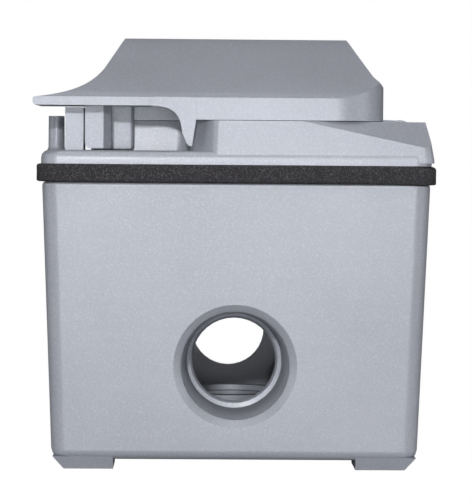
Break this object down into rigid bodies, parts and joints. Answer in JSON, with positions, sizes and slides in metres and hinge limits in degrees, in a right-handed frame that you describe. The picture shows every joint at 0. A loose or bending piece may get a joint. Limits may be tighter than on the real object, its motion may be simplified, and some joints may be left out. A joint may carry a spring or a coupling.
{
  "type": "weatherproof electrical outlet box",
  "caption": "Cast weatherproof outlet box with conduit hubs, a foam-sealed cover plate, a sprung flip lid with a padlock hasp, and a receptacle inside.",
  "frame": {"origin": "on the plane that the four pads stand on, under the middle of the box", "axes": "+Z out of the back of the box towards the lid, +Y along the box from the hasp end to the far end, +X towards the hinge side"},
  "size_m": [0.0739, 0.1178, 0.0799],
  "materials": {
    "powder_coat": "silver-grey metallic powder coat on die-cast aluminium, fine sparkle and light orange peel",
    "foam": "closed-cell black foam with pale specks",
    "screw_steel": "zinc-plated steel",
    "spring_steel": "stainless spring wire",
    "strap_steel": "galvanised steel strap",
    "terminal_brass": "brass",
    "green_zinc": "green earth screw",
    "grey_plastic": "moulded grey thermoplastic",
    "black_plastic": "moulded black thermoplastic",
    "lamp_plastic": "clear green light pipe",
    "board": "glass-filled circuit board",
    "copper_winding": "enamelled copper winding"
  },
  "bodies": {
    "box": {"box_body": "powder_coat", "back_hub_plug": "powder_coat", "ground_screw": "green_zinc", "box_gasket": "foam", "cover_plate": "powder_coat", "cover_screw_near": "screw_steel", "cover_screw_far": "screw_steel", "lid_seal": "foam", "hinge_pin": "screw_steel", "hinge_spring": "spring_steel", "receptacle_body": "black_plastic", "mounting_strap": "strap_steel", "receptacle_face": "grey_plastic", "status_lamp": "lamp_plastic", "line_screw_1": "terminal_brass", "line_screw_2": "terminal_brass", "neutral_screw_1": "screw_steel", "neutral_screw_2": "screw_steel", "circuit_board": "board", "sensing_coil": "copper_winding", "trip_solenoid": "copper_winding", "line_contact": "terminal_brass", "neutral_contact": "terminal_brass"},
    "lid": {"lid": "powder_coat"},
    "test_button": {"test_button": "black_plastic"},
    "reset_button": {"reset_button": "grey_plastic"}
  },
  "joints": [
    {"name": "lid_hinge", "type": "hinge", "parent": "box", "child": "lid", "pos_m": [0.032, 0, 0.06215], "axis": [0, 1, 0], "range_deg": [0, 110], "stiffness_Nm_per_rad": 0.012, "springref_deg": -51.57},
    {"name": "test_press", "type": "slide", "parent": "box", "child": "test_button", "axis": [0, 0, -1], "range_m": [0, 0.0012], "stiffness_N_per_m": 400, "springref_m": -0.0005},
    {"name": "reset_press", "type": "slide", "parent": "box", "child": "reset_button", "axis": [0, 0, -1], "range_m": [0, 0.0012], "stiffness_N_per_m": 400, "springref_m": -0.0005}
  ]
}
